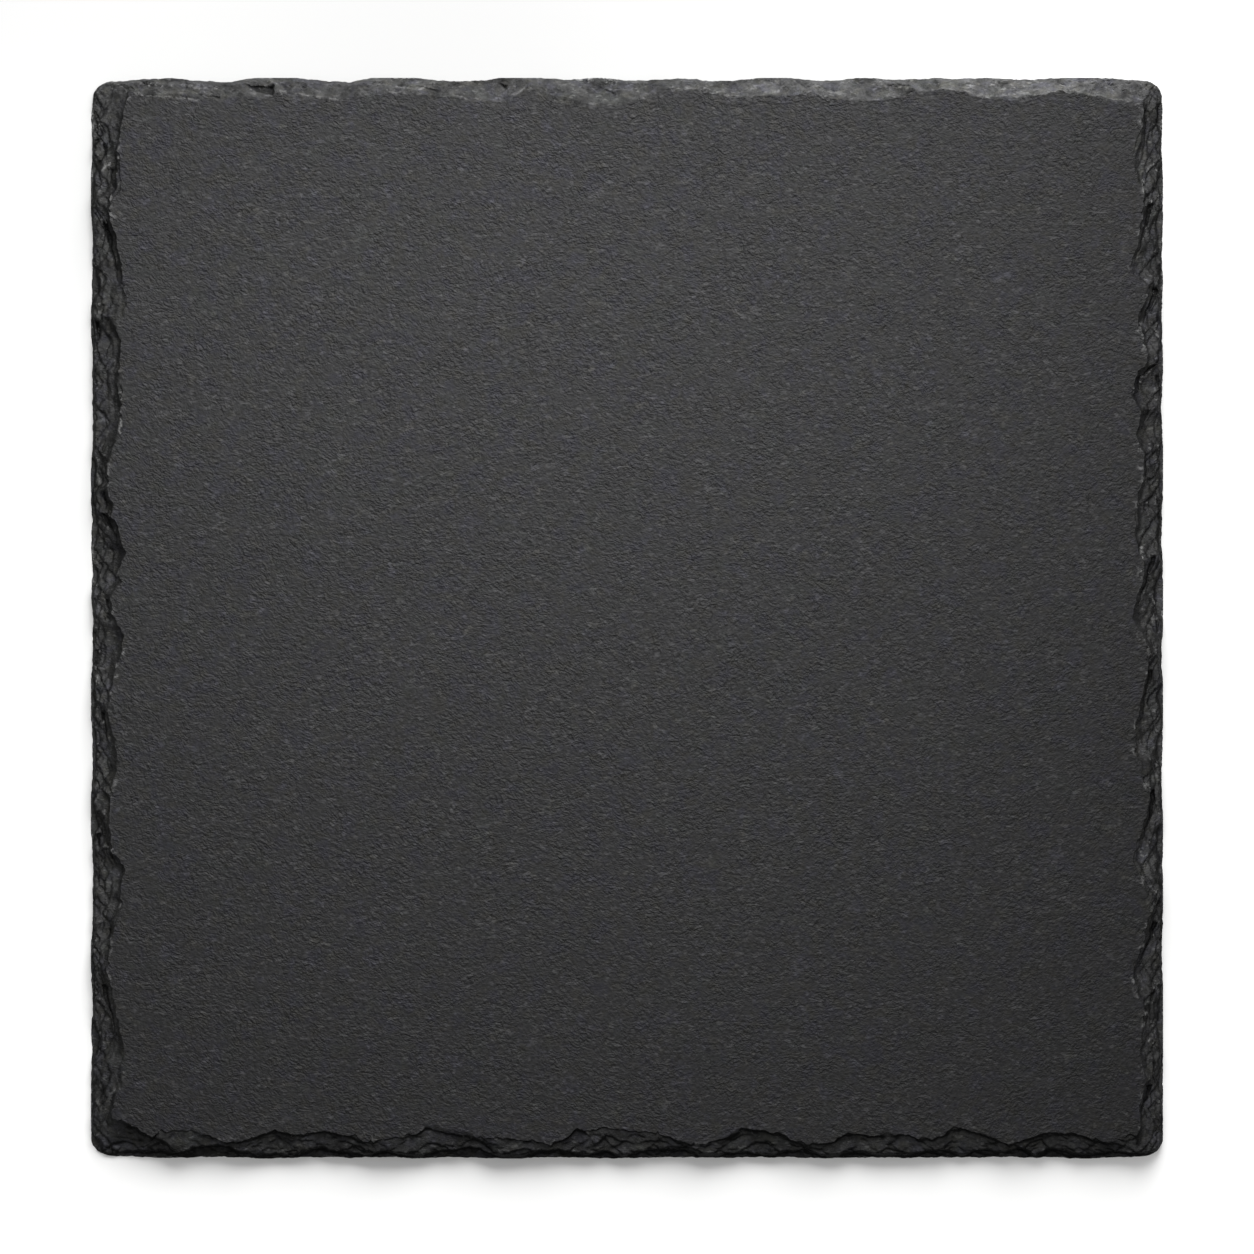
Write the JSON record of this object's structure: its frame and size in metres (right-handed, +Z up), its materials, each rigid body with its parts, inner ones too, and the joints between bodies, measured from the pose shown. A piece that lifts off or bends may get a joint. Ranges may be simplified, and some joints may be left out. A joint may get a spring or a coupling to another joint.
{
  "type": "slate serving board",
  "caption": "Near-square split-slate serving board with a riven face, broken-back flaked edges and softly rounded corners.",
  "frame": {"origin": "middle of the board's outline, on the flat underside that rests on the table", "axes": "+Z up through the thickness, from the underside to the riven face; +X along one edge, left to right; +Y from the front edge to the back edge"},
  "size_m": [0.25, 0.252, 0.006],
  "materials": {
    "slate": "riven"
  },
  "bodies": {
    "root": {"slate_board": "slate"}
  },
  "joints": []
}
